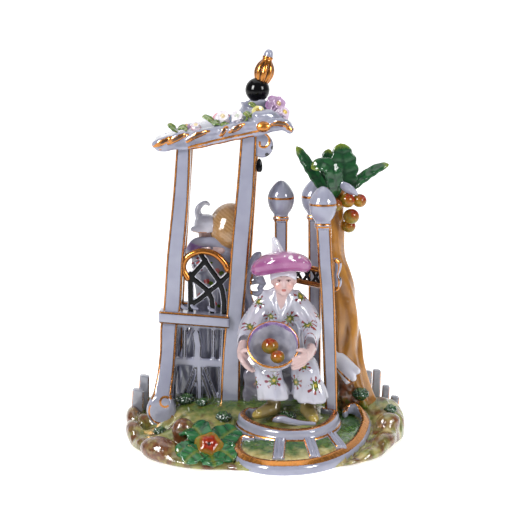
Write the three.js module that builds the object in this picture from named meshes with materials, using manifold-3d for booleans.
// A glazed and gilt porcelain figure group in the Chinese taste, standing on a rocky mound:
// a seated figure with a bowl of fruit, a tall open pavilion with a second figure inside,
// three bud-topped posts with a lattice rail, and a palm with fruit.
// Units are millimetres. X runs to the right, Y to the back and Z up, from the underside.

import * as THREE from 'three';
import { mergeVertices } from 'three/addons/utils/BufferGeometryUtils.js';
import Module from 'manifold-3d';

const wasm = await Module();
wasm.setup();

// Driving dimensions
const GAP = 0.3;
const SLIVER = 0.25;
const FLATNESS = 0.1;
const BASE_FLATNESS = 0.24;
const ROOF_FLATNESS = 0.15;
const MOUND = { halfWidth: 106, front: 93, back: 87, centreY: 2, plateau: 28 };
const MOUND_TURNS = 34;
const MOUND_SHARES = [0.97, 0.89, 0.79, 0.68, 0.56, 0.43, 0.25];
const LEG_FRONT_Y = 8;
const LEG_BACK_Y = 50;
const LEG_DEPTH = 12;
const RAIL_HEIGHT = 9.6;
const PANEL_THICKNESS = 4.5;
const FINIAL = { x: -5, y: 26, ballZ: 264.3, ballRadius: 9.2, lean: 14, budLength: 24 };
const POST_TOP = 195.5;
const POST_BULB = { radius: 10.2, height: 25 };
const BOWL = { x: 6.6, y: -56, z: 85.8, radius: 18.9, depth: 17.5, wall: 2, tip: 49 };
const APPLE_RELIEF = { x: -39, y: -63, z: 12, radius: 9.6 };
const SEAT = { left: -17, right: 37, front: 0, back: 18.6, top: 53 };
const STEP_CENTRE = { x: 18, y: -22 };

// Colours of the glaze and the painting
const PORCELAIN = 0xdfe1ea;
const GOLD = 0xb9742a;
const BLACK = 0x14141a;
const PURPLE = 0xa35496;
const MOSS = 0x8e9a4a;
const LEAF_GREEN = 0x1f5a2e;
const OCHRE = 0xa8701f;
const APPLE_RED = 0xc05418;
const STRAW = 0xa07a48;
const STONE_GREY = 0x55565c;
const ROCK_BROWN = 0x8a5230;

const group = new THREE.Group();

// Small vector helpers

function vec(point) {
  return new THREE.Vector3(point[0], point[1], point[2]);
}

function lerp(a, b, t) {
  return a + (b - a) * t;
}

function smooth(t) {
  const s = Math.min(1, Math.max(0, t));
  return s * s * (3 - 2 * s);
}

// Reads a value from a list of [key, value] rows by linear interpolation
function along(rows, key) {
  if (key <= rows[0][0]) return rows[0][1];
  for (let i = 1; i < rows.length; i += 1) {
    if (key <= rows[i][0]) {
      const t = (key - rows[i - 1][0]) / (rows[i][0] - rows[i - 1][0]);
      return lerp(rows[i - 1][1], rows[i][1], t);
    }
  }
  return rows[rows.length - 1][1];
}

// Solids from geometry, and back

function solidFromArrays(positions, indices) {
  const mesh = new wasm.Mesh({
    numProp: 3,
    vertProperties: Float32Array.from(positions),
    triVerts: Uint32Array.from(indices),
  });
  return new wasm.Manifold(mesh);
}

function solidFromGeometry(geometry) {
  const bare = geometry.clone();
  bare.deleteAttribute('normal');
  bare.deleteAttribute('uv');
  const merged = mergeVertices(bare, 1e-4);
  const source = merged.index.array;
  const kept = [];
  for (let i = 0; i < source.length; i += 3) {
    const [a, b, c] = [source[i], source[i + 1], source[i + 2]];
    if (a !== b && b !== c && c !== a) kept.push(a, b, c);
  }
  return solidFromArrays(merged.attributes.position.array, kept);
}

function meshArrays(solid) {
  const mesh = solid.getMesh();
  const positions = [];
  for (let i = 0; i < mesh.vertProperties.length; i += mesh.numProp) {
    positions.push(mesh.vertProperties[i], mesh.vertProperties[i + 1], mesh.vertProperties[i + 2]);
  }
  return { positions, indices: Array.from(mesh.triVerts) };
}

function signedVolume(positions, indices) {
  let volume = 0;
  for (let i = 0; i < indices.length; i += 3) {
    const [a, b, c] = [indices[i] * 3, indices[i + 1] * 3, indices[i + 2] * 3];
    volume += positions[a] * (positions[b + 1] * positions[c + 2] - positions[b + 2] * positions[c + 1]);
    volume += positions[a + 1] * (positions[b + 2] * positions[c] - positions[b] * positions[c + 2]);
    volume += positions[a + 2] * (positions[b] * positions[c + 1] - positions[b + 1] * positions[c]);
  }
  return volume / 6;
}

function join(solids) {
  return solids.reduce((sum, solid) => sum.add(solid));
}

// The same solid with every face moved outward by a clearance
function grown(solid, clearance = GAP) {
  const { positions, indices } = meshArrays(solid);
  const count = positions.length / 3;
  const facing = Array.from({ length: count }, () => []);
  for (let i = 0; i < indices.length; i += 3) {
    const corners = [indices[i], indices[i + 1], indices[i + 2]];
    const [a, b, c] = corners.map((n) => new THREE.Vector3().fromArray(positions, n * 3));
    const normal = b.sub(a).cross(c.sub(a));
    if (normal.length() < 1e-9) continue;
    normal.normalize();
    corners.forEach((n) => facing[n].push(normal));
  }
  const moved = [];
  for (let n = 0; n < count; n += 1) {
    const mean = new THREE.Vector3();
    facing[n].forEach((normal) => mean.add(normal));
    mean.normalize();
    const least = Math.min(...facing[n].map((normal) => normal.dot(mean)));
    const step = clearance / Math.max(least, 0.4);
    moved.push(positions[n * 3] + mean.x * step);
    moved.push(positions[n * 3 + 1] + mean.y * step);
    moved.push(positions[n * 3 + 2] + mean.z * step);
  }
  return solidFromArrays(moved, indices);
}

// The largest connected body of a solid, so that a cut leaves no crumbs
function mainBody(solid) {
  const { positions, indices } = meshArrays(solid);
  const owner = Array.from({ length: positions.length / 3 }, (_, n) => n);
  const find = (n) => {
    let root = n;
    while (owner[root] !== root) root = owner[root];
    owner[n] = root;
    return root;
  };
  for (let i = 0; i < indices.length; i += 3) {
    owner[find(indices[i])] = find(indices[i + 1]);
    owner[find(indices[i + 1])] = find(indices[i + 2]);
  }
  const bodies = new Map();
  for (let i = 0; i < indices.length; i += 3) {
    const root = find(indices[i]);
    if (!bodies.has(root)) bodies.set(root, []);
    bodies.get(root).push(indices[i], indices[i + 1], indices[i + 2]);
  }
  const ranked = [...bodies.values()].sort(
    (a, b) => Math.abs(signedVolume(positions, b)) - Math.abs(signedVolume(positions, a)),
  );
  const kept = ranked[0];
  const renumbered = new Map();
  const compact = [];
  const faces = kept.map((n) => {
    if (!renumbered.has(n)) {
      renumbered.set(n, compact.length / 3);
      compact.push(positions[n * 3], positions[n * 3 + 1], positions[n * 3 + 2]);
    }
    return renumbered.get(n);
  });
  return solidFromArrays(compact, faces);
}

// The same solid with the slivers and needless points that cuts leave merged away. A point is
// drawn to a neighbour where every face around it stays within the flatness.
function tidied(solid, flatness = FLATNESS) {
  const { positions, indices } = meshArrays(solid);
  const points = [];
  for (let i = 0; i < positions.length; i += 3) points.push(new THREE.Vector3().fromArray(positions, i));
  const faces = [];
  for (let i = 0; i < indices.length; i += 3) faces.push(indices.slice(i, i + 3));
  const around = points.map(() => new Set());
  faces.forEach((face, f) => face.forEach((n) => around[n].add(f)));
  const plane = (face) => {
    const [p, q, r] = face.map((n) => points[n]);
    const normal = q.clone().sub(p).cross(r.clone().sub(p));
    return { normal, area: normal.length(), point: p };
  };
  const neighbours = (n) => {
    const found = new Set();
    around[n].forEach((f) => faces[f].forEach((m) => found.add(m)));
    found.delete(n);
    return found;
  };
  const allowed = (from, to) => {
    const own = neighbours(from);
    const shared = [...neighbours(to)].filter((n) => own.has(n));
    if (shared.length !== 2) return false;
    const near = points[from].distanceTo(points[to]) < SLIVER;
    return [...around[from]].every((f) => {
      if (faces[f].includes(to)) return true;
      const before = plane(faces[f]);
      const after = plane(faces[f].map((n) => (n === from ? to : n)));
      if (after.area < 1e-6) return false;
      const turn = before.normal.dot(after.normal) / Math.max(before.area * after.area, 1e-12);
      const rise = Math.abs(after.normal.dot(points[from].clone().sub(after.point))) / after.area;
      return near ? turn > 0.3 || before.area < 1e-4 : turn > 0.98 && rise < flatness;
    });
  };
  const collapse = (from, to) => {
    around[from].forEach((f) => {
      if (faces[f].includes(to)) {
        faces[f].forEach((n) => n !== from && around[n].delete(f));
        faces[f] = null;
      } else {
        faces[f] = faces[f].map((n) => (n === from ? to : n));
        around[to].add(f);
      }
    });
    around[from].clear();
  };
  for (let pass = 0; pass < 4; pass += 1) {
    for (let n = 0; n < points.length; n += 1) {
      const options = [...neighbours(n)];
      options.sort((a, b) => points[a].distanceTo(points[n]) - points[b].distanceTo(points[n]));
      const target = options.find((m) => allowed(n, m));
      if (target !== undefined) collapse(n, target);
    }
  }
  const renumbered = new Map();
  const kept = [];
  const compact = faces.filter((face) => face).flat().map((n) => {
    if (!renumbered.has(n)) {
      renumbered.set(n, kept.length / 3);
      kept.push(points[n].x, points[n].y, points[n].z);
    }
    return renumbered.get(n);
  });
  return solidFromArrays(kept, compact);
}

function clearOf(solid, others) {
  const cut = others.reduce((rest, other) => rest.subtract(grown(other)).subtract(other), solid);
  return tidied(mainBody(cut));
}

function addPiece(name, solid, colour, roughness = 0.18, metalness = 0) {
  const { positions, indices } = meshArrays(solid);
  const geometry = new THREE.BufferGeometry();
  geometry.setAttribute('position', new THREE.Float32BufferAttribute(positions, 3));
  geometry.setIndex(indices);
  geometry.computeVertexNormals();
  const material = new THREE.MeshStandardMaterial({ color: colour, roughness, metalness });
  const mesh = new THREE.Mesh(geometry, material);
  mesh.name = name;
  group.add(mesh);
}

// Shape builders

// A closed skin through rings of equally many points, capped flat at both ends
function loft(rings) {
  const count = rings[0].length;
  const positions = rings.flat(2);
  const indices = [];
  for (let r = 0; r + 1 < rings.length; r += 1) {
    for (let i = 0; i < count; i += 1) {
      const a = r * count + i;
      const b = r * count + ((i + 1) % count);
      indices.push(a, b, b + count, a, b + count, a + count);
    }
  }
  const cap = (ring, offset, reversed) => {
    const centre = positions.length / 3;
    for (let k = 0; k < 3; k += 1) {
      positions.push(ring.reduce((sum, point) => sum + point[k], 0) / count);
    }
    for (let i = 0; i < count; i += 1) {
      const a = offset + i;
      const b = offset + ((i + 1) % count);
      if (reversed) indices.push(centre, b, a);
      else indices.push(centre, a, b);
    }
  };
  cap(rings[0], 0, true);
  cap(rings[rings.length - 1], (rings.length - 1) * count, false);
  if (signedVolume(positions, indices) < 0) {
    for (let i = 0; i < indices.length; i += 3) {
      [indices[i + 1], indices[i + 2]] = [indices[i + 2], indices[i + 1]];
    }
  }
  return solidFromArrays(positions, indices);
}

// A section swept along a path. The section's first axis is square to the path and to hint,
// and its second lies along hint.
function sweep(path, sections, hint) {
  const points = path.map(vec);
  const rings = points.map((point, i) => {
    const before = points[Math.max(0, i - 1)];
    const after = points[Math.min(points.length - 1, i + 1)];
    const forward = after.clone().sub(before).normalize();
    const first = forward.clone().cross(vec(hint)).normalize();
    const second = first.clone().cross(forward).normalize();
    return sections[i].map(([u, v]) => [
      point.x + first.x * u + second.x * v,
      point.y + first.y * u + second.y * v,
      point.z + first.z * u + second.z * v,
    ]);
  });
  return loft(rings);
}

function ovalSection(halfWide, halfDeep, sides, lobes = 0, depth = 0) {
  return Array.from({ length: sides }, (_, i) => {
    const turn = (i / sides) * Math.PI * 2;
    const swell = 1 + depth * Math.cos(lobes * turn);
    return [Math.cos(turn) * halfWide * swell, Math.sin(turn) * halfDeep * swell];
  });
}

function boxSection(wide, deep, bevel) {
  const [w, d] = [wide / 2, deep / 2];
  if (bevel === 0) return [[w, -d], [w, d], [-w, d], [-w, -d]];
  return [
    [w - bevel, -d], [w, bevel - d], [w, d - bevel], [w - bevel, d],
    [bevel - w, d], [-w, d - bevel], [-w, bevel - d], [bevel - w, -d],
  ];
}

// A limb through stations of [x, y, z, half width, half depth]. Its ends are rounded, or flat
// where they lie inside another part.
function limb(stations, sides = 8, hint = [0, 1, 0], ends = 'round') {
  const rounded = (end, next) => {
    const away = vec(end).sub(vec(next)).normalize();
    const size = Math.min(end[3], end[4]) * 0.75;
    return [end[0] + away.x * size, end[1] + away.y * size, end[2] + away.z * size,
      end[3] * 0.5, end[4] * 0.5];
  };
  const full = [...stations];
  if (ends !== 'flat' && ends !== 'far') full.unshift(rounded(stations[0], stations[1]));
  if (ends !== 'flat') full.push(rounded(stations[stations.length - 1], stations[stations.length - 2]));
  return sweep(full.map((s) => s.slice(0, 3)), full.map((s) => ovalSection(s[3], s[4], sides)), hint);
}

// A straight or bent bar of box section
function beam(path, wide, deep, hint = [0, 1, 0], bevel = 0) {
  const widths = Array.isArray(wide) ? wide : path.map(() => wide);
  const bevels = widths.map((w) => Math.min(bevel, w / 4, deep / 4));
  return sweep(path, widths.map((w, i) => boxSection(w, deep, bevels[i])), hint);
}

function turned(profile, segments = 16) {
  const points = profile.map(([radius, height]) => new THREE.Vector2(radius, height));
  return new THREE.LatheGeometry(points, segments).rotateX(Math.PI / 2);
}

function turnedSolid(profile, segments, x, y, z) {
  return solidFromGeometry(turned(profile, segments).translate(x, y, z));
}

function ball(centre, radii, wide = 10, high = 7) {
  const geometry = new THREE.SphereGeometry(1, wide, high).rotateX(Math.PI / 2);
  geometry.scale(radii[0], radii[1], radii[2]);
  geometry.translate(centre[0], centre[1], centre[2]);
  return solidFromGeometry(geometry);
}

// A thick leaf with a raised midrib, from its stalk to its tip, facing along face
function leaf({ base, bend, tip, face, width, thick = 2.6, steps = 7, teeth = 0 }) {
  const curve = new THREE.QuadraticBezierCurve3(vec(base), vec(bend), vec(tip));
  const rings = [];
  for (let i = 0; i <= steps; i += 1) {
    const t = i / steps;
    const point = curve.getPoint(t);
    const forward = curve.getTangent(t);
    const side = forward.clone().cross(vec(face)).normalize();
    const up = side.clone().cross(forward).normalize();
    const outline = Math.sin(Math.PI * Math.min(0.97, 0.12 + 0.85 * t)) ** 0.75;
    const notch = i % 2 === 0 ? 1 : 1 - teeth;
    const half = Math.max(0.8, (width / 2) * outline * notch);
    const lift = Math.max(0.5, (thick / 2) * (0.5 + 0.5 * outline));
    const at = (u, v) => [
      point.x + side.x * u + up.x * v, point.y + side.y * u + up.y * v, point.z + side.z * u + up.z * v,
    ];
    rings.push([at(half, 0), at(0, lift * 1.2), at(-half, 0), at(0, -lift)]);
  }
  return loft(rings);
}

// The mound

// Plan radius of the mound's foot, with the slight bays and swells of its rocks
function moundRadius(turn) {
  const long = Math.sin(turn) < 0 ? MOUND.front : MOUND.back;
  const plain = 1 / Math.hypot(Math.cos(turn) / MOUND.halfWidth, Math.sin(turn) / long);
  return plain * (1 + 0.018 * Math.sin(5 * turn + 0.6) + 0.016 * Math.sin(9 * turn + 2));
}

// How far out the flat top reaches, and how high the rim stands, by plan direction in degrees
const FLAT_REACH = [[-180, 0.5], [-150, 0.3], [-120, 0.12], [-90, 0.06], [-60, 0.1], [-30, 0.45],
  [0, 0.6], [30, 0.72], [90, 0.72], [150, 0.66], [180, 0.5]];
const RIM_HEIGHT = [[-180, 9], [-135, 6], [-90, 4], [-45, 6], [-10, 9], [30, 15], [60, 13], [90, 11],
  [140, 12], [180, 9]];

function groundHeight(x, y) {
  const turn = Math.atan2(y - MOUND.centreY, x);
  const share = Math.hypot(x, y - MOUND.centreY) / moundRadius(turn);
  const degrees = THREE.MathUtils.radToDeg(turn);
  const reach = along(FLAT_REACH, degrees);
  const rim = along(RIM_HEIGHT, degrees);
  const fall = smooth((share - reach) / (1 - reach));
  const lumps = 1.2 * Math.sin(x / 11 + 1) * Math.cos(y / 13) * Math.min(1, fall * 4);
  return MOUND.plateau - (MOUND.plateau - rim) * fall + lumps;
}

function moundRing(share, height) {
  return Array.from({ length: MOUND_TURNS }, (_, i) => {
    const turn = (i / MOUND_TURNS) * Math.PI * 2 - Math.PI;
    const radius = moundRadius(turn) * share;
    const x = Math.cos(turn) * radius;
    const y = MOUND.centreY + Math.sin(turn) * radius;
    return [x, y, height === undefined ? groundHeight(x, y) : height];
  });
}

function makeMound() {
  const rings = [moundRing(0.955, 0), moundRing(0.985, 1.2), moundRing(0.985, 3.4)];
  MOUND_SHARES.forEach((share) => rings.push(moundRing(share)));
  return loft(rings);
}

// Rocks around the rim: centre, half sizes and turn about Z in degrees
const FRONT_ROCKS = [
  [-86, -42, 8, 22, 8, 6.5, -38], [-97, -18, 9, 8, 7, 7, 10], [-101, 14, 10, 7, 13, 8, 5],
  [-56, -36, 17, 7, 6, 7, -60], [88, -10, 13, 13, 8, 7, 28], [85, -34, 7, 14, 7, 6, 50],
  [99, 14, 12, 8, 14, 8, 0], [-68, -58, 4.5, 14, 9, 4.5, -35],
];

function rock([x, y, z, a, b, c, turn]) {
  const geometry = new THREE.SphereGeometry(1, 7, 4).rotateX(Math.PI / 2);
  geometry.scale(a, b, c);
  geometry.rotateZ(THREE.MathUtils.degToRad(turn));
  geometry.translate(x, y, z);
  return solidFromGeometry(geometry);
}

// Applied crumbs of moss: centre and radius, seated on the ground
const MOSS_TUFTS = [
  [-60, 2, 6.5], [-30, -24, 5.8], [15.5, -23, 5], [75, 15, 6], [-90, 52, 4.5], [-101, 22, 4.2],
];

function mossTuft([x, y, radius]) {
  return ball([x, y, groundHeight(x, y) + radius * 0.25], [radius, radius * 0.9, radius * 0.8], 6, 4);
}

// The two scrolled steps at the front. Each band follows the foot of its outer wall, [x, y, z].
const LOWER_FOOT = [
  [-9, -50, 9.5], [-12.5, -44.5, 9], [-18, -45, 8], [-21.5, -53, 6], [-21.5, -65, 3], [-17, -77.5, 0.6],
  [-8, -87.5, 0], [6, -93.8, 0], [25, -93.2, 0], [43, -84.5, 0], [60, -67.5, 1], [73.5, -45, 4],
  [80, -20, 9], [79.5, 0, 13.5], [73.5, 13, 17], [65.5, 16, 19.5], [60.5, 9, 21], [65, 3, 20.5],
];
const UPPER_FOOT = [
  [-8, -17, 22.5], [-14, -18, 22], [-19, -26, 19.5], [-17.5, -36, 18], [-9, -48, 16.5], [4, -57.5, 15.6],
  [18, -61.5, 15.2], [35, -58.5, 15.4], [48, -47.5, 16.6], [55, -33.5, 18.6], [55, -22, 21], [47, -18, 22.5],
];
const LOWER_BAND = [[0, 0], [0.4, 5.2], [-1.2, 6.6], [-5.6, 9.8], [-7.6, 9.2], [-7.6, 0]];
const UPPER_BAND = [[0, 0], [0.4, 6], [-1.4, 7.2], [-4.6, 8], [-6.2, 7.4], [-6.2, 0]];

function scrollBand(foot, section) {
  const ends = foot.length - 1;
  const sections = foot.map((_, i) => {
    const taper = i === 0 || i === ends ? 0.72 : 1;
    return section.map(([u, v]) => [u * taper, v * taper]);
  });
  return sweep(foot, sections, [0, 0, 1]);
}

// A strip of terrace between an outer row and an inner row of [x, y, z] points
function terrace(outer, inner, depth) {
  return loft(outer.map((point, i) => {
    const within = inner[i];
    return [point, within, [within[0], within[1], point[2] - depth], [point[0], point[1], point[2] - depth]];
  }));
}

// The lower terrace by angle about the step centre: how far out its outer and inner walls stand,
// and how high it lies at each
const TERRACE_OUTER = [[-175, 40], [-150, 48], [-125, 66], [-90, 67], [-60, 64], [-30, 57], [20, 57]];
const TERRACE_INNER = [[-175, 33], [-150, 32], [-125, 33], [-90, 38], [-60, 38], [20, 36.5]];
const TERRACE_LOW = [[-175, 15], [-150, 11], [-120, 8.4], [-60, 8.4], [-30, 12], [0, 17], [20, 21]];
const TERRACE_HIGH = [[-175, 19], [-120, 16.6], [-60, 16.6], [0, 20], [20, 22.5]];

// A point on the lower terrace, by angle and share from wall to wall
function terracePoint(degrees, share) {
  const turn = THREE.MathUtils.degToRad(degrees);
  const radius = lerp(along(TERRACE_OUTER, degrees), along(TERRACE_INNER, degrees), share);
  const height = lerp(along(TERRACE_LOW, degrees), along(TERRACE_HIGH, degrees), share);
  return [STEP_CENTRE.x + Math.cos(turn) * radius, STEP_CENTRE.y + Math.sin(turn) * radius, height];
}

function lowerTerrace() {
  const [start, end, strips] = [-172, 16, 10];
  const turns = Array.from({ length: strips + 1 }, (_, i) => lerp(start, end, i / strips));
  return terrace(turns.map((turn) => terracePoint(turn, 0)), turns.map((turn) => terracePoint(turn, 1)), 8);
}

function upperTerrace() {
  const outer = UPPER_FOOT.slice(1, -1).map(([x, y, z]) => {
    const pull = 0.9;
    return [lerp(STEP_CENTRE.x, x, pull), lerp(STEP_CENTRE.y, y, pull), z + 6.2];
  });
  const inner = outer.map(([x]) => [lerp(STEP_CENTRE.x, x, 0.6), -4, 27.2]);
  return terrace(outer, inner, 9);
}

// Three raised bands that cross the lower terrace, where the fluting is
const FLUTED_BANDS = [-97, -74, -49];

function flutedBands() {
  return FLUTED_BANDS.map((degrees) => {
    const path = [-0.05, 1.05].map((share) => {
      const [x, y, z] = terracePoint(degrees, share);
      return [x, y, z + 0.3];
    });
    return beam(path, 10.5, 2.6, [0, 0, 1]);
  });
}

// The apple in relief on the front slope, and the leaves that lie around it
function appleRelief() {
  const parts = [];
  const { x, y, z, radius } = APPLE_RELIEF;
  parts.push(ball([x, y, z], [radius, radius * 0.92, radius], 10, 7));
  const slope = { y: 0.8, z: 0.6 };
  const face = [0, -slope.z, slope.y];
  const directions = [118, 62, 14, -32, -62, -100, -140, 196];
  directions.forEach((degrees, i) => {
    const turn = THREE.MathUtils.degToRad(degrees);
    const place = (distance, lift) => {
      const across = Math.cos(turn) * distance;
      const up = Math.sin(turn) * distance;
      return [x + across, y + up * slope.y - lift * slope.z, z - 1.5 + up * slope.z + lift * slope.y];
    };
    const reach = i < 2 ? 28 : 21;
    parts.push(leaf({
      base: place(6, 0), bend: place(reach * 0.6, 4.5), tip: place(reach, 0),
      face, width: 12.5, thick: 6, steps: 3,
    }));
  });
  return parts;
}

// A little gilt scroll that lies on the upper terrace
function terraceScroll() {
  return limb([[8, -38, 23.6, 1.6, 1.6], [11, -41, 23.8, 2.2, 2], [15, -40, 23.6, 2, 2],
    [20, -42, 23.2, 1.8, 1.8], [26, -43.5, 22.8, 1.4, 1.4]], 6, [0, 0, 1]);
}

function makeBase() {
  const parts = [makeMound(), scrollBand(LOWER_FOOT, LOWER_BAND), scrollBand(UPPER_FOOT, UPPER_BAND),
    lowerTerrace(), upperTerrace(), terraceScroll(), ...flutedBands(), ...appleRelief(),
    ...FRONT_ROCKS.map(rock), ...MOSS_TUFTS.map(mossTuft)];
  const whole = join(parts);
  const below = new THREE.BoxGeometry(300, 300, 20).translate(0, 0, -10);
  return tidied(mainBody(whole.subtract(solidFromGeometry(below))), BASE_FLATNESS);
}

const base = makeBase();
addPiece('base_mound', base, MOSS, 0.22);

// The pavilion. Leg stations are [x, y, z, width].
const LEGS = {
  front_left: [[-60, LEG_FRONT_Y, 224, 10.8], [-62.3, LEG_FRONT_Y, 188, 12.2], [-65, LEG_FRONT_Y, 160, 12.9],
    [-67.5, LEG_FRONT_Y, 136, 13], [-69.8, LEG_FRONT_Y, 102, 13.6], [-72.5, 6.5, 86, 13.2],
    [-73.4, 4, 67, 12.4], [-75, 0, 50, 12.8], [-77, -5, 38, 13.6], [-78, -8, 26, 14]],
  front_right: [[-11.4, LEG_FRONT_Y, 231, 12], [-14, LEG_FRONT_Y, 190, 13.6], [-17.6, LEG_FRONT_Y, 151, 14],
    [-21.2, LEG_FRONT_Y, 105, 13.4], [-24.7, LEG_FRONT_Y, 66, 14], [-26.2, LEG_FRONT_Y, 22, 15.6]],
  back_left: [[-60, LEG_BACK_Y, 224, 10.5], [-65, LEG_BACK_Y, 160, 11.5], [-69.5, LEG_BACK_Y, 95, 12],
    [-73, LEG_BACK_Y, 12, 13]],
  back_right: [[-8.5, LEG_BACK_Y, 232, 10.5], [-13, LEG_BACK_Y, 170, 11.5], [-18, LEG_BACK_Y, 95, 12],
    [-22, LEG_BACK_Y, 18, 13]],
};
const FOOT_SCROLL = { x: -78, y: -8, z: 23.8, radius: 11.3, thickness: 13 };

function legSolid(stations, bevel = 1.6) {
  return beam(stations.map((s) => s.slice(0, 3)), stations.map((s) => s[3]), LEG_DEPTH, [0, 1, 0], bevel);
}

function scrollFoot() {
  const { x, y, z, radius, thickness } = FOOT_SCROLL;
  const half = thickness / 2;
  const profile = [[0, -half], [radius - 1.5, -half], [radius, 1.5 - half], [radius, half - 1.5],
    [radius - 1.5, half], [0, half]];
  return solidFromGeometry(turned(profile, 14).rotateX(Math.PI / 2).translate(x, y, z));
}

// The roof: a low canopy that rises to the right. Stations are [x, underside, edge, crest, front, back].
const ROOF_STATIONS = [
  [-83, 222.6, 224.6, 226.4, 2, 54], [-80, 219.8, 226.6, 228, -5, 62], [-74, 219.4, 228.6, 231, -6, 64],
  [-66, 220.6, 230.6, 234, -4, 61], [-54, 222.4, 234.6, 238.5, -3, 60], [-40, 225, 237.4, 242.5, -4, 62],
  [-26, 228, 239.6, 246, -3, 60], [-12, 231, 240.8, 248.5, -4, 61], [-1, 232.4, 241, 248.5, -3, 60],
  [7, 234.6, 242.6, 247, -4, 61], [14, 235.2, 241, 243.5, -6, 63], [19, 234.4, 237.4, 239, -6, 63],
  [21.5, 234.6, 235.8, 236.6, -2, 59],
];

function roofSection([x, under, edge, crest, front, back]) {
  const middle = (front + back) / 2;
  const shoulder = lerp(edge, crest, 0.55);
  const inset = (back - front) * 0.2;
  return [
    [x, front + 1.5, under], [x, front, lerp(under, edge, 0.5)], [x, front + 1.5, edge],
    [x, front + inset, shoulder], [x, middle, crest], [x, back - inset, shoulder],
    [x, back - 1.5, edge], [x, back, lerp(under, edge, 0.5)], [x, back - 1.5, under],
    [x, middle, under + 1.5],
  ];
}

// The dome that carries the finial
function finialDome() {
  const profile = [[0, -8], [12.5, -8], [11.6, 0], [7.6, 5], [0, 6.8]];
  return turnedSolid(profile, 12, FINIAL.x - 3, FINIAL.y, 248);
}

// Leaf-shaped swags laid along the roof's front edge: start, end and width
const EDGE_SWAGS = [
  [[-75, 226], [-61, 232.6], 6], [[-56, 229.6], [-42, 237], 6],
  [[-33, 232.6], [-18, 241], 7], [[9, 243], [20, 236], 7.5],
];

function edgeSwags() {
  return EDGE_SWAGS.map(([[x0, z0], [x1, z1], width]) => leaf({
    base: [x0, -2.5, z0], bend: [(x0 + x1) / 2, -8.5, (z0 + z1) / 2 + 1.5], tip: [x1, -2.5, z1],
    face: [0, -1, 0.3], width, thick: 3.4, steps: 4,
  }));
}

function gildedDrop() {
  return ball([-0.4, -4.5, 238.2], [4.8, 3, 3.2], 8, 6);
}

// Leaves that lie among the blossoms and are part of the roof's glaze
const ROOF_LEAVES = [
  { base: [-64, 4, 233], bend: [-67, 2, 236], tip: [-71.6, 2, 240], face: [0.3, -0.8, 0.5], width: 6 },
  { base: [-57, 0, 234.6], bend: [-60, -1, 237.4], tip: [-64, 0, 236], face: [0, -0.5, 0.9], width: 6 },
  { base: [-36, 3, 239], bend: [-41, 2, 243.6], tip: [-46, 3, 245.6], face: [0.2, -0.7, 0.6], width: 6 },
  { base: [-14, 4, 241.6], bend: [-12, 2, 246], tip: [-15, 4, 248.4], face: [0, -0.9, 0.3], width: 6 },
  { base: [-5, 14, 247], bend: [-7, 10, 252], tip: [-12, 10, 255], face: [0, -0.9, 0.4], width: 7 },
];

function roofLeaves() {
  return ROOF_LEAVES.map((shape) => leaf({ ...shape, thick: 2.8, steps: 3 }));
}

function makeRoof() {
  const parts = [loft(ROOF_STATIONS.map(roofSection)), finialDome(), gildedDrop(), ...edgeSwags(),
    ...roofLeaves()];
  return tidied(mainBody(join(parts)), ROOF_FLATNESS);
}

const roof = makeRoof();

const legFrontLeft = clearOf(join([legSolid(LEGS.front_left), scrollFoot()]), [base, roof]);
const legFrontRight = clearOf(legSolid(LEGS.front_right), [base, roof]);
const legBackLeft = clearOf(legSolid(LEGS.back_left), [base, roof]);
const legBackRight = clearOf(legSolid(LEGS.back_right), [base, roof]);
const legs = [legFrontLeft, legFrontRight, legBackLeft, legBackRight];

addPiece('roof_canopy', roof, PORCELAIN);
addPiece('leg_front_left', legFrontLeft, PORCELAIN);
addPiece('leg_front_right', legFrontRight, PORCELAIN);
addPiece('leg_back_left', legBackLeft, PORCELAIN);
addPiece('leg_back_right', legBackRight, PORCELAIN);

// Rails at waist height. The front one laps over the left leg's face.
const railFront = clearOf(beam([[-80, 5.4, 93.9], [-26, 5.4, 89.6]], RAIL_HEIGHT, 15.6), legs);
const railLeft = clearOf(beam([[-71.2, 12, 93.4], [-69.6, LEG_BACK_Y, 93.4]], RAIL_HEIGHT, 9, [1, 0, 0]),
  [railFront, ...legs]);
const railRight = clearOf(beam([[-21.4, 12, 90], [-18.4, LEG_BACK_Y, 90]], RAIL_HEIGHT, 9, [1, 0, 0]), legs);
const railBack = clearOf(beam([[-70, LEG_BACK_Y, 91], [-18, LEG_BACK_Y, 91]], RAIL_HEIGHT, 9), legs);
const rails = [railFront, railLeft, railRight, railBack];
addPiece('rail_front', railFront, PORCELAIN);
addPiece('rail_left', railLeft, PORCELAIN);
addPiece('rail_right', railRight, PORCELAIN);
addPiece('rail_back', railBack, PORCELAIN);

// A pierced panel under a rail: bars between points [across, height], set at a depth.
// The front panel has a swelling mullion, two slots a side, and struts that fan out below.
const FRONT_PANEL_Y = 10;

function frontPanel() {
  const at = ([x, z]) => [x, FRONT_PANEL_Y, z];
  const bars = [
    [[[-69, 86.5], [-28, 84]], 4.5],
    [[[-66.5, 84], [-68.5, 60], [-70.5, 24]], 3.4],
    [[[-60.8, 86], [-61.4, 57]], 3.6],
    [[[-51.6, 86], [-52.4, 78]], 4.6],
    [[[-52.2, 80], [-51, 72], [-51.6, 57]], 7.4],
    [[[-38.6, 86], [-39.2, 57]], 3.4],
    [[[-31.6, 84], [-32.8, 60], [-34.2, 24]], 3.6],
    [[[-70, 57.4], [-31, 55]], 6.4],
    [[[-50.2, 57], [-49.8, 24]], 5.2],
    [[[-52.8, 54], [-62.4, 29]], 2.8],
    [[[-51.8, 46], [-58.6, 27]], 2.6],
    [[[-46.4, 54], [-36.2, 26]], 2.8],
    [[[-47.6, 46], [-41.4, 26]], 2.6],
  ];
  return join(bars.map(([path, wide]) => beam(path.map(at), wide, PANEL_THICKNESS)));
}

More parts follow.
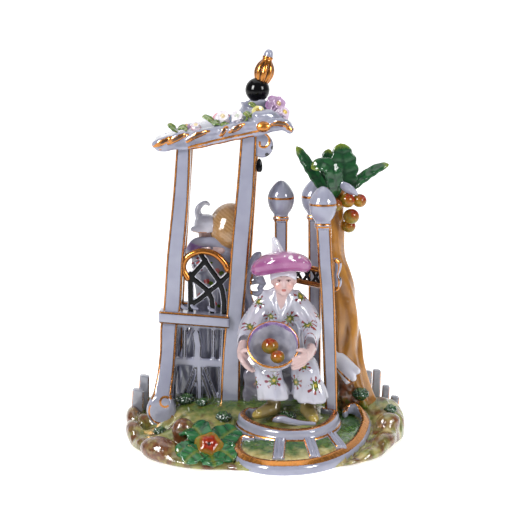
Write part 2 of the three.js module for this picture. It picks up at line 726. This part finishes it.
// The side and back panels repeat it more plainly: stiles, a middle bar and a brace
function plainPanel(place, hint, width, top) {
  const bars = [
    [[[0, top - 2], [width, top - 2]], 4],
    [[[2, top - 1], [2, 16]], 4],
    [[[width - 2, top - 1], [width - 2, 16]], 4],
    [[[width / 2, top - 1], [width / 2, 16]], 5],
    [[[1, 57], [width - 1, 57]], 6],
    [[[3, 30], [width / 2, 55]], 2.8],
    [[[width - 3, 30], [width / 2, 55]], 2.8],
  ];
  return join(bars.map(([path, wide]) => beam(path.map(place), wide, PANEL_THICKNESS, hint)));
}

const SIDE_START = LEG_FRONT_Y + LEG_DEPTH / 2 + GAP;
const SIDE_SPAN = LEG_BACK_Y - LEG_FRONT_Y - LEG_DEPTH - 2 * GAP;
const leftPanelPlace = ([u, z]) => [lerp(-74, -69.6, z / 90), SIDE_START + u, z];
const rightPanelPlace = ([u, z]) => [lerp(-26, -20, z / 90), SIDE_START + u, z];
const backPanelPlace = ([u, z]) => [-64 + u, LEG_BACK_Y, z];
const panelFront = clearOf(frontPanel(), [base, railFront, legFrontLeft, legFrontRight]);
const panelLeft = clearOf(plainPanel(leftPanelPlace, [1, 0, 0], SIDE_SPAN, 88.2), [base]);
const panelRight = clearOf(plainPanel(rightPanelPlace, [1, 0, 0], SIDE_SPAN, 84.8), [base]);
const panelBack = clearOf(plainPanel(backPanelPlace, [0, 1, 0], 38, 85.8), [base, legBackLeft, legBackRight]);
addPiece('panel_front', panelFront, PORCELAIN);
addPiece('panel_left', panelLeft, PORCELAIN);
addPiece('panel_right', panelRight, PORCELAIN);
addPiece('panel_back', panelBack, PORCELAIN);

// The gilt arch and its black lattice, between the front legs above the rail
const ARCH_Y = 7;
const ARCH_LINE = [[-58, 122.5], [-61.6, 130], [-59.4, 137.4], [-52.8, 142], [-45, 143.2], [-36.6, 140.6],
  [-30.4, 134.6], [-27.2, 128.6]];
const LATTICE_BARS = [
  [[-55.2, 124.8], [-44.4, 136.6]], [[-47.4, 141], [-34.5, 120.9]], [[-55.2, 124.8], [-42.1, 112.4]],
  [[-42.1, 112.4], [-24, 126]], [[-42.1, 112.4], [-56, 102.2]], [[-43, 113], [-39.8, 106], [-40.4, 93.5]],
  [[-34.5, 121.4], [-31, 109], [-30.6, 92.5]], [[-56, 126], [-55.9, 94]], [[-60, 131], [-54.6, 123.6]],
];

function latticePanel() {
  const arch = limb(ARCH_LINE.map(([x, z]) => [x, ARCH_Y, z, 2, 2.6]), 6);
  const bars = LATTICE_BARS.map((bar) => beam(bar.map(([x, z]) => [x, ARCH_Y, z]), 2.9, 3.2));
  return join([arch, ...bars]);
}

const lattice = clearOf(latticePanel(), [...legs, ...rails]);
addPiece('lattice_arch', lattice, BLACK);

// The scroll under the roof beside the right leg, with its hanging black bell
function eaveScroll() {
  const profile = [[0, -4], [7.6, -4], [8.8, -2.6], [8.8, 2.6], [7.6, 4], [0, 4]];
  const disc = turned(profile, 16).rotateX(Math.PI / 2).scale(0.95, 1, 1.05).translate(-1.2, 8, 223.6);
  const neck = beam([[-8, 8, 234], [-3, 8, 228]], 9, 8);
  return join([solidFromGeometry(disc), neck]);
}

const bracket = clearOf(eaveScroll(), [roof, legFrontRight]);
addPiece('eave_scroll', bracket, PORCELAIN);
const bell = turnedSolid([[0, -5], [1.9, -4.4], [2.4, -1], [1.9, 3], [0.9, 5], [0, 5.4]], 8, -3.6, 8, 208.6);
addPiece('eave_bell', clearOf(bell, [bracket, legFrontRight]), BLACK);

// The finial: a black ball under a gilt fluted bud that leans and ends in a white tip
function makeFinial() {
  const black = ball([FINIAL.x, FINIAL.y, FINIAL.ballZ],
    [FINIAL.ballRadius, FINIAL.ballRadius, FINIAL.ballRadius], 10, 7);
  const rows = [[-2, 5], [2, 7.1], [7, 7.7], [11, 6.6], [15, 4.6], [17.4, 3.5], [20.6, 3.4],
    [23, 2.2], [FINIAL.budLength, 0.7]];
  const lean = THREE.MathUtils.degToRad(FINIAL.lean);
  const start = FINIAL.ballZ + 7.2;
  const path = rows.map(([s]) => [FINIAL.x + 3.6 + Math.sin(lean) * s, FINIAL.y, start + Math.cos(lean) * s]);
  const sections = rows.map(([s, radius]) => {
    const depth = s < 17 ? 0.07 : 0;
    return ovalSection(radius, radius, 10, 5, depth);
  });
  return join([black, sweep(path, sections, [0, 1, 0])]);
}

const finial = clearOf(makeFinial(), [roof]);
addPiece('finial', finial, GOLD, 0.2, 0.6);

// Three posts with bud-shaped tops. Stations of the shaft are [x, y, z, width].
const POSTS = {
  post_front: [[43.6, -14, 168, 10.8], [45.6, -14, 136, 10.8], [47.6, -14, 110, 10.6], [51, -14, 22, 9.4]],
  post_left: [[13.1, 25, 168, 10], [13.1, 25, 120, 9.8], [13.1, 25, 22, 9.6]],
  post_right: [[39, 32, 168, 10], [39.4, 32, 120, 9.8], [40, 32, 22, 9.6]],
};

function postSolid(stations) {
  const [x, y] = stations[0];
  const shaft = beam(stations.map((s) => s.slice(0, 3)), stations.map((s) => s[3]), 9.6, [0, 1, 0], 1.2);
  const { radius, height } = POST_BULB;
  const low = POST_TOP - height;
  const profile = [[0, -6], [6, -5.6], [6.3, -2.6], [5.1, -0.6], [7.8, 4.4], [radius, 11.6],
    [radius * 0.94, 15.2], [radius * 0.62, 20.4], [0, height]];
  return join([shaft, turnedSolid(profile, 10, x, y, low)]);
}

const posts = Object.fromEntries(Object.entries(POSTS).map(([name, stations]) => {
  const solid = clearOf(postSolid(stations), [base]);
  return [name, solid];
}));
Object.entries(posts).forEach(([name, solid]) => addPiece(name, solid, PORCELAIN));

// The fence between the front and left posts: two gilt rails with a crossed lattice
function fenceSolid() {
  const start = [44, -12];
  const end = [14.6, 22.6];
  const at = (t, z) => [lerp(start[0], end[0], t), lerp(start[1], end[1], t), z];
  const across = [34.6, 29.4, 0];
  const upper = beam([at(0, 131.6), at(1, 131.6)], 4.6, 4.6, across);
  const lower = beam([at(0, 120.2), at(1, 120.2)], 4.6, 4.6, across);
  const parts = [upper, lower];
  for (let i = 0; i < 2; i += 1) {
    const [from, to] = [0.14 + i * 0.36, 0.14 + (i + 1) * 0.36];
    parts.push(beam([at(from, 120.2), at(to, 131.6)], 2.4, 3, across));
    parts.push(beam([at(from, 131.6), at(to, 120.2)], 2.4, 3, across));
  }
  return join(parts);
}

const fence = clearOf(fenceSolid(), Object.values(posts));
addPiece('fence_lattice', fence, GOLD, 0.3, 0.4);

// A narrow gilt scroll that stands out on the other side of the front post
const fenceCurl = clearOf(limb([[53, -9, 139, 2.4, 2], [56, -7, 135, 2.4, 2.2], [54.6, -8, 129, 2.6, 2.2],
  [56.6, -7, 123, 2.6, 2.2], [54, -9, 117, 2, 1.8]], 8), Object.values(posts));
addPiece('fence_curl', fenceCurl, PORCELAIN);

// The palm: a folded trunk, five leaves, a white petal and a bunch of fruit.
// Trunk stations are [x, y, z, half width, half depth].
const TRUNK = [
  [72, 15, 22, 18, 15], [70, 15, 30, 15.5, 13], [68, 14.5, 40, 13.6, 11.6], [66.4, 14, 50, 12.6, 10.8],
  [65, 14, 62, 11.6, 10.2], [62.8, 14, 86, 10.5, 9.6], [60, 14, 112, 9.8, 9],
  [56.6, 14, 126, 9.4, 8.6], [53, 14, 140, 8.4, 8.2], [53, 14, 160, 8, 8], [53.6, 14, 176, 7.4, 7.6],
  [54.4, 13.6, 190, 7, 7.2], [55.4, 13.4, 196, 4.4, 4.6],
];

function trunkSolid() {
  const sections = TRUNK.map(([, , , wide, deep], i) => {
    const fold = i < TRUNK.length - 1 ? 0.07 : 0;
    return ovalSection(wide, deep, 10, 5, fold);
  });
  return sweep(TRUNK.map((s) => s.slice(0, 3)), sections, [0, 1, 0]);
}

const trunk = clearOf(trunkSolid(), [base, ...Object.values(posts), fenceCurl]);
addPiece('palm_trunk', trunk, OCHRE, 0.2);

const PALM_LEAVES = [
  { base: [50, 12, 187], bend: [40, 13, 197], tip: [24.4, 12, 222.6], face: [0.6, -0.7, 0.4], width: 17 },
  { base: [53, 19, 191], bend: [49, 22, 204], tip: [49.4, 23, 219.8], face: [-0.1, -1, 0.1], width: 14 },
  { base: [61, 13, 190], bend: [65, 14, 208], tip: [60, 13, 225], face: [0.05, -1, 0.15], width: 20 },
  { base: [54, 4, 186], bend: [50, -4, 209], tip: [34.6, -5, 207], face: [0.2, -0.75, 0.6], width: 18 },
  { base: [63, 12, 188], bend: [78, 14, 201], tip: [95, 15, 209], face: [-0.25, -0.65, 0.7], width: 15 },
];
const leafSolids = [];
PALM_LEAVES.forEach((shape, i) => {
  const solid = clearOf(leaf({ ...shape, thick: 5, steps: 8, teeth: 0.12 }), [trunk, ...leafSolids,
    ...Object.values(posts)]);
  leafSolids.push(solid);
  addPiece(`palm_leaf_${i + 1}`, solid, LEAF_GREEN, 0.15);
});

const PETAL = {
  base: [55.4, 4, 196], bend: [60, 1, 193], tip: [69, 2, 187.6], face: [0.3, -0.8, 0.5],
  width: 6.5, thick: 3, steps: 5,
};
const petal = clearOf(leaf(PETAL), [trunk, ...leafSolids]);
addPiece('palm_petal', petal, PORCELAIN);

const FRUITS = [[62.7, 3.4, 182.6, 5.8], [72, 7, 182, 5.4], [65.6, 2.6, 170.6, 6.1], [64.4, 10.6, 162, 5.2],
  [54, -1, 179.6, 4.8]];
const fruitSolids = [];
FRUITS.forEach(([x, y, z, radius], i) => {
  const solid = clearOf(ball([x, y, z], [radius, radius, radius], 8, 5),
    [trunk, petal, ...leafSolids, ...fruitSolids, ...Object.values(posts)]);
  fruitSolids.push(solid);
  addPiece(`palm_fruit_${i + 1}`, solid, APPLE_RED, 0.15);
});

// The stone that the figure sits on
function seatSolid() {
  const { left, right, front, back, top } = SEAT;
  const middle = (left + right) / 2;
  const wide = right - left;
  const depth = (front + back) / 2;
  const path = [[middle, depth, 18], [middle, depth, 34], [middle, depth, top - 3], [middle, depth, top]];
  const scale = [1.04, 1, 0.96, 0.88];
  return sweep(path, scale.map((s) => boxSection((back - front) * s, wide * s, 4)), [1, 0, 0]);
}

const seat = clearOf(seatSolid(), [base]);
addPiece('stone_seat', seat, STONE_GREY, 0.3);

const BOWL_STEPS = 4;
const quarterTurns = Array.from({ length: BOWL_STEPS + 1 }, (_, i) => (i / BOWL_STEPS) * (Math.PI / 2));

// The seated figure. Limb stations are [x, y, z, half width, half depth].
const HEAD = { x: 14.6, y: -22, z: 127, wide: 9.8, deep: 10.4, high: 12.6 };

const TORSO = [
  [13, 6, 60, 20, 13], [13, 2, 72, 18.5, 13], [13, -5, 88, 17.5, 12.4], [13, -10, 102, 19, 11.4],
  [13, -13, 110, 17, 9.6], [13.4, -15.5, 115, 9.5, 7.6], [14, -18, 119, 5.4, 5.6],
];
const COLLARS = [
  [[3, -14, 114, 2.4, 4], [9, -21, 108, 2.6, 2.4], [11.8, -22.6, 99, 2.4, 1.8]],
  [[25, -14, 114, 2.4, 4], [17, -21, 108, 2.6, 2.4], [12, -22.6, 99, 2.4, 1.8]],
];
const SLEEVES = [
  [[0, -11, 108, 8, 8], [-7, -15, 100, 8.4, 8.4], [-13, -22, 91.5, 8.4, 8.4], [-16.4, -34.5, 85, 6.8, 8]],
  [[27, -11, 108, 8, 8], [34.6, -15, 101, 8.4, 8.4], [39.6, -22, 91.5, 8.6, 9], [37, -35.5, 80.6, 5.6, 12]],
];
const FOREARMS = [
  [[-16.6, -36, 83, 4.2, 5], [-17, -44, 80, 4, 5], [-13.6, -52, 74, 3, 4.6], [-8, -57, 69.6, 2, 4]],
  [[37, -36, 82, 4.2, 5], [33, -46, 78.6, 4, 5], [27.6, -53, 77, 2.8, 4.8], [23.6, -60, 77.6, 2, 4]],
];
const THIGHS = [
  [[6, 2, 60, 11.5, 11], [3, -14, 60, 11, 10.6], [3.4, -30, 60, 10, 9.8]],
  [[20, 2, 60, 11.5, 11], [26, -14, 60, 11, 10.6], [30, -30, 61, 10.2, 10]],
];
const TROUSERS = [
  [[3.4, -31, 61, 9, 9], [4.4, -32, 53, 10.4, 9.6], [6.8, -31.6, 42.6, 12, 11]],
  [[30, -31, 61, 9.4, 9], [31.6, -32, 53, 10.8, 9.6], [33.4, -32.6, 41.6, 13.4, 11.6]],
];
const SHOES = [
  [[7, -27, 46, 5, 5], [9, -25, 31, 6, 5.6], [2, -29, 29, 6, 4.6], [-4.6, -33, 27.6, 4.6, 3.6]],
  [[32, -29, 46, 5, 5], [32, -28, 31, 6, 5.6], [34.6, -36, 28, 5.6, 4.4], [36.6, -41, 26.4, 4.4, 3.4]],
];

function figureSolid() {
  const across = [0, 1, 0];
  return join([
    limb(TORSO, 9, across, 'flat'),
    ball([HEAD.x, HEAD.y, HEAD.z], [HEAD.wide, HEAD.deep, HEAD.high], 10, 7),
    ...COLLARS.map((stations) => limb(stations, 5, across, 'far')),
    ...SLEEVES.map((stations) => limb(stations, 8, across, 'far')),
    ...FOREARMS.map((stations) => limb(stations, 6, across, 'far')),
    ...THIGHS.map((stations) => limb(stations, 8, [1, 0, 0], 'far')),
    ...TROUSERS.map((stations) => limb(stations, 9, across, 'flat')),
    ...SHOES.map((stations) => limb(stations, 6, [0, 0, 1], 'far')),
  ]);
}

// The bowl, tipped toward the front, and the two apples in it. The outside curve ends at the lip.
function bowlOutside() {
  const { radius, depth } = BOWL;
  const profile = quarterTurns.map((turn) => [radius * Math.sin(turn), -depth * Math.cos(turn)]);
  return [...profile, [radius + 0.5, 1], [radius - 0.6, 1.8]];
}

function bowlInside() {
  const { radius, depth, wall } = BOWL;
  const profile = quarterTurns.map((turn) => [
    (radius - wall) * Math.sin(turn), wall * 0.4 - (depth - wall) * Math.cos(turn),
  ]);
  return profile.reverse();
}

function tippedBowl(profile) {
  const geometry = turned(profile, 18).rotateX(THREE.MathUtils.degToRad(BOWL.tip));
  return solidFromGeometry(geometry.translate(BOWL.x, BOWL.y, BOWL.z));
}

// A point in the bowl from its offset across, its height up the mouth, and its depth
function inBowl(across, up, depth) {
  const tip = THREE.MathUtils.degToRad(BOWL.tip);
  const y = up * Math.cos(tip) + depth * Math.sin(tip);
  const z = up * Math.sin(tip) - depth * Math.cos(tip);
  return [BOWL.x + across, BOWL.y + y, BOWL.z + z];
}

const bowl = tippedBowl([...bowlOutside(), ...bowlInside()]);
const apples = [
  ball(inBowl(-2.2, 2.4, 7.2), [6.3, 6.3, 6.3], 8, 6),
  ball(inBowl(3.2, -7.4, 5.2), [5.2, 5.2, 5.2], 8, 6),
];
const bowlApples = apples.map((apple, i) => clearOf(apple, i === 0 ? [bowl] : [bowl, apples[0]]));
addPiece('bowl', bowl, PORCELAIN);
addPiece('bowl_apple_back', bowlApples[0], APPLE_RED, 0.15);
addPiece('bowl_apple_front', bowlApples[1], APPLE_RED, 0.15);

// The bowl's whole form without its hollow, so that nothing of the figure stands inside it
const bowlFilled = tippedBowl([...bowlOutside(), [0, 1.8]]);

const figure = clearOf(figureSolid(), [base, seat, bowlFilled, ...Object.values(posts), legFrontRight]);
addPiece('seated_figure', figure, PORCELAIN);

// The hat: a broad soft brim that droops at the sides, with a small leaning tip
function hatSolid() {
  const profile = [[0, -4], [12, -4.8], [20.6, -5], [22.6, -1.6], [20.6, 2.4],
    [15, 6], [7, 8.6], [0, 9.2]];
  const geometry = turned(profile, 15);
  const position = geometry.attributes.position;
  for (let i = 0; i < position.count; i += 1) {
    const [x, y] = [position.getX(i), position.getY(i)];
    const share = Math.hypot(x, y) / 22;
    const droop = -2.8 * share * share * Math.cos(2 * Math.atan2(y, x));
    position.setZ(i, position.getZ(i) + droop);
  }
  geometry.rotateY(THREE.MathUtils.degToRad(-6)).rotateX(THREE.MathUtils.degToRad(-6));
  geometry.translate(12.4, -21, 139);
  const tip = limb([[10.4, -19, 146, 4.6, 4.4], [9.2, -19.6, 151, 3.2, 3], [7.8, -20, 155.6, 1.9, 1.9]], 8);
  return join([solidFromGeometry(geometry), tip]);
}

addPiece('seated_figure_hat', clearOf(hatSolid(), [figure, ...Object.values(posts), fence]), PURPLE);

// The rock behind the front post, and the end of the robe that lies over it
const SMALL_ROCK = [[65, 0, 22, 9, 9], [64.4, 0, 34, 8.4, 8.4], [62.6, 1, 44, 5.6, 6]];
const smallRock = clearOf(limb(SMALL_ROCK, 8), [base, trunk, ...Object.values(posts)]);
addPiece('brown_rock', smallRock, ROCK_BROWN, 0.2);
const ROBE_END = [[46, 6, 66, 5, 4.5], [54, 3, 61.6, 7.4, 4.8], [62, -1, 53, 6, 4.6], [67, -4, 48, 4, 4]];
const robeEnd = clearOf(limb(ROBE_END, 8), [figure, seat, smallRock, trunk, ...Object.values(posts)]);
addPiece('robe_end', robeEnd, PORCELAIN);

// The rocaille scroll on the right leg
const ROCAILLE_STEM = [
  [-4.4, 13, 139, 3.4, 3.2], [-8, 13, 134, 3, 3], [-11, 13, 127, 3.4, 3], [-13.6, 13, 119, 3.6, 3],
  [-13, 13, 109, 3.2, 3], [-10, 13, 101, 3, 3], [-12, 13, 92, 4, 3.4],
];
const ROCAILLE_CURL = [
  [-12, 14, 121, 2.8, 2.6], [-6, 14, 122, 2.6, 2.6], [-1.8, 14, 118, 2.6, 2.6], [-4.4, 14, 113.6, 2.4, 2.4],
];

function rocailleSolid() {
  return join([limb(ROCAILLE_STEM, 6), limb(ROCAILLE_CURL, 6, [0, 1, 0], 'far')]);
}

addPiece('rocaille_scroll', clearOf(rocailleSolid(), [...legs, railRight, panelRight, figure]), PORCELAIN);

// The figure inside the pavilion: robe, shoulders, head in a curled cap, and a straw hat at its back
const INNER_ROBE = [
  [-40, 31, 26, 12, 11], [-40, 31, 60, 12, 11], [-40, 30.5, 95, 13, 11], [-39, 29, 122, 16, 11.6],
  [-40, 29, 138, 16.4, 10.6], [-41, 29, 146, 11, 8.6], [-42, 29, 151, 6, 6],
];
const INNER_SCARF = [[-55, 24, 138, 5, 4.6], [-51, 20, 144, 5.4, 4], [-44, 19, 146, 4, 3.4]];
const INNER_HANDS = [[-48, 15, 141.6, 2.6, 2.4], [-40, 14.4, 144, 2.6, 2.2], [-31, 16, 142.6, 3, 2.6]];
const INNER_HEAD = { x: -42.6, y: 28, z: 156 };
const CAP_CURL = [
  [-49.6, 28, 167, 2.8, 2.8], [-51, 28, 172, 2.2, 2.2], [-48.4, 28, 176, 1.9, 1.9],
  [-44.6, 28, 178, 1.6, 1.6],
];

function innerFigureSolid() {
  const { x, y, z } = INNER_HEAD;
  const across = [0, 1, 0];
  return join([
    limb(INNER_ROBE, 8, across, 'flat'),
    limb(INNER_SCARF, 6, across, 'flat'),
    limb(INNER_HANDS, 5),
    ball([x, y, z], [8, 8.6, 9], 8, 5),
    ball([x, y, z + 7], [10.2, 10, 8.4], 8, 6),
    turnedSolid([[0, -1], [10.6, -1], [11.4, 0], [10.6, 1], [0, 1]], 10, x, y, z + 3.4),
    limb(CAP_CURL, 6, across, 'far'),
  ]);
}

function strawHatSolid() {
  const profile = [
    [0, -3.4], [9, -3.6], [15.6, -4.6], [18.4, -3.4], [17.4, -1], [12, 3.4], [5.6, 6.2], [0, 7],
  ];
  const geometry = turned(profile, 12);
  geometry.rotateX(THREE.MathUtils.degToRad(68)).rotateZ(THREE.MathUtils.degToRad(-12));
  geometry.translate(-24.6, 28, 160.2);
  return solidFromGeometry(geometry);
}

const strawHat = clearOf(strawHatSolid(), legs);
const innerFigure = clearOf(innerFigureSolid(), [base, strawHat, lattice]);
addPiece('inner_figure', innerFigure, PORCELAIN);
addPiece('inner_straw_hat', strawHat, STRAW, 0.3);

// Stumps that stand along the mound's edge: [x, y, top, radius]
const STUMPS = [[-95, 34, 41, 3.4], [-99, 22, 33, 3.8], [82, 32, 45, 2.4], [89, 38, 44.4, 2.8],
  [97, 44, 30, 2.6], [103, 30, 25, 2.8]];
STUMPS.forEach(([x, y, top, radius], i) => {
  const stump = limb([[x, y, 6, radius, radius], [x, y, (top + 6) / 2, radius, radius],
    [x, y, top - radius * 0.7, radius * 0.95, radius * 0.95]], 6);
  addPiece(`stump_${i + 1}`, clearOf(stump, [base, trunk]), STONE_GREY);
});

// Blossoms on the roof: centre, radius and colour
const BLOSSOMS = {
  blossom_white_pink: [-31, 4, 243.4, 5.6, PORCELAIN],
  blossom_white_blue: [-20.4, 3, 243.4, 5.2, PORCELAIN],
  blossom_bud_white: [-50.6, 3, 238, 3.8, PORCELAIN],
  blossom_purple_left: [-57.6, 4, 238, 3.2, PURPLE],
  blossom_purple_right: [8.4, 18, 254, 5.4, PURPLE],
  blossom_lavender: [12.4, 12, 248, 4.8, PURPLE],
  blossom_yellow: [1.6, 5, 244.6, 4, 0xd8c66a],
};

// A ball of five rounded petals
function blossom(x, y, z, radius) {
  const geometry = new THREE.SphereGeometry(radius, 10, 5).rotateX(Math.PI / 2);
  const position = geometry.attributes.position;
  for (let i = 0; i < position.count; i += 1) {
    const turn = Math.atan2(position.getY(i), position.getX(i));
    const petal = 1 + 0.1 * Math.cos(5 * turn);
    position.setXYZ(i, position.getX(i) * petal, position.getY(i) * petal, position.getZ(i) * 0.85);
  }
  return solidFromGeometry(geometry.translate(x, y, z));
}

const onRoof = [roof, finial];
Object.entries(BLOSSOMS).forEach(([name, [x, y, z, radius, colour]]) => {
  const solid = clearOf(blossom(x, y, z, radius), onRoof);
  onRoof.push(solid);
  addPiece(name, solid, colour);
});

export default group;
